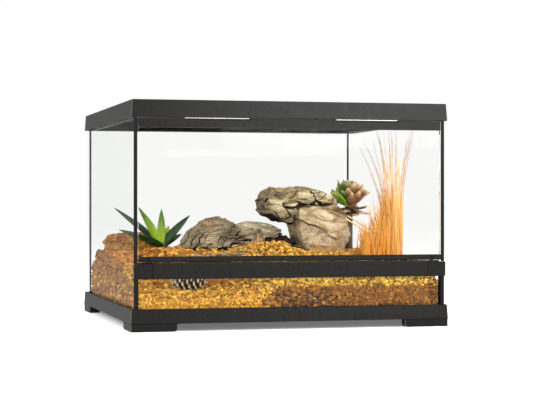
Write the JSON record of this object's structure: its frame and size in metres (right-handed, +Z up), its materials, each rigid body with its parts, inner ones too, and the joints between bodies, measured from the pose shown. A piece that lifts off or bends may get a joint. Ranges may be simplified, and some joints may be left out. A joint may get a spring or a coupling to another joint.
{
  "type": "reptile terrarium",
  "caption": "Front-opening glass terrarium with a drop-down door over a vent strip, framed base and top, lift-off screen lid, and a bed of loose bedding with rocks, wood and plants.",
  "frame": {"origin": "middle of the underside of the bounding box: on the floor, under the middle of the tank", "axes": "+X to the viewer's right when facing the door, -Y out of the front, +Z up"},
  "size_m": [0.4618, 0.4618, 0.32],
  "materials": {
    "frame_plastic": "satin black moulded plastic",
    "glass": "clear float glass with polished edges",
    "sealant": "black silicone",
    "steel": "plated steel",
    "lid_metal": "black powder coat",
    "bedding": "loose golden bark and shell bedding",
    "bark": "rough orange-brown bark",
    "grey_wood": "weathered grey wood",
    "stone": "beige sandstone",
    "leaf_green": "glossy green leaf",
    "leaf_brown_green": "waxy green and red-brown leaf",
    "dry_grass": "dry golden grass"
  },
  "bodies": {
    "tank": {"base_frame": "frame_plastic", "bottom_glass": "glass", "left_glass": "glass", "right_glass": "glass", "rear_glass": "glass", "front_lower_glass": "glass", "floor_seal": "sealant", "rear_corner_seals": "sealant", "front_corner_seals": "sealant", "edge_trim_left": "sealant", "edge_trim_right": "sealant", "vent_rail": "frame_plastic", "vent_cover": "frame_plastic", "hinge_block_left": "frame_plastic", "hinge_block_right": "frame_plastic", "door_keepers": "steel", "top_frame": "frame_plastic", "substrate_bed": "bedding", "bark_mound": "bark", "weathered_log": "grey_wood", "rock_slab": "stone", "boulder": "stone", "spiky_plant": "leaf_green", "rosette_plant": "leaf_brown_green", "grass_tuft": "dry_grass", "pine_cone": "bark", "bark_flake": "bark", "dry_twigs": "bark"},
    "door": {"door_glass": "glass", "door_bottom_rail": "frame_plastic", "door_top_rail": "frame_plastic", "door_magnets": "steel", "hinge_pins": "steel"},
    "lid": {"lid_frame": "lid_metal", "lid_screen": "lid_metal", "screen_spline": "sealant"},
    "latch_left": {"lid_latch_left": "frame_plastic"},
    "latch_right": {"lid_latch_right": "frame_plastic"},
    "gate_left": {"cable_gate_left": "frame_plastic"},
    "gate_right": {"cable_gate_right": "frame_plastic"}
  },
  "joints": [
    {"name": "door_hinge", "type": "hinge", "parent": "tank", "child": "door", "pos_m": [0, -0.2281, 0.0983], "axis": [1, 0, 0], "range_deg": [0, 90]},
    {"name": "lid_lift", "type": "slide", "parent": "tank", "child": "lid", "axis": [0, 0, 1], "range_m": [0, 0.15]},
    {"name": "latch_left_slide", "type": "slide", "parent": "lid", "child": "latch_left", "axis": [-1, 0, 0], "range_m": [0, 0.0028]},
    {"name": "latch_right_slide", "type": "slide", "parent": "lid", "child": "latch_right", "axis": [1, 0, 0], "range_m": [0, 0.0028]},
    {"name": "gate_left_slide", "type": "slide", "parent": "tank", "child": "gate_left", "axis": [1, 0, 0], "range_m": [0, 0.024]},
    {"name": "gate_right_slide", "type": "slide", "parent": "tank", "child": "gate_right", "axis": [-1, 0, 0], "range_m": [0, 0.024]}
  ]
}
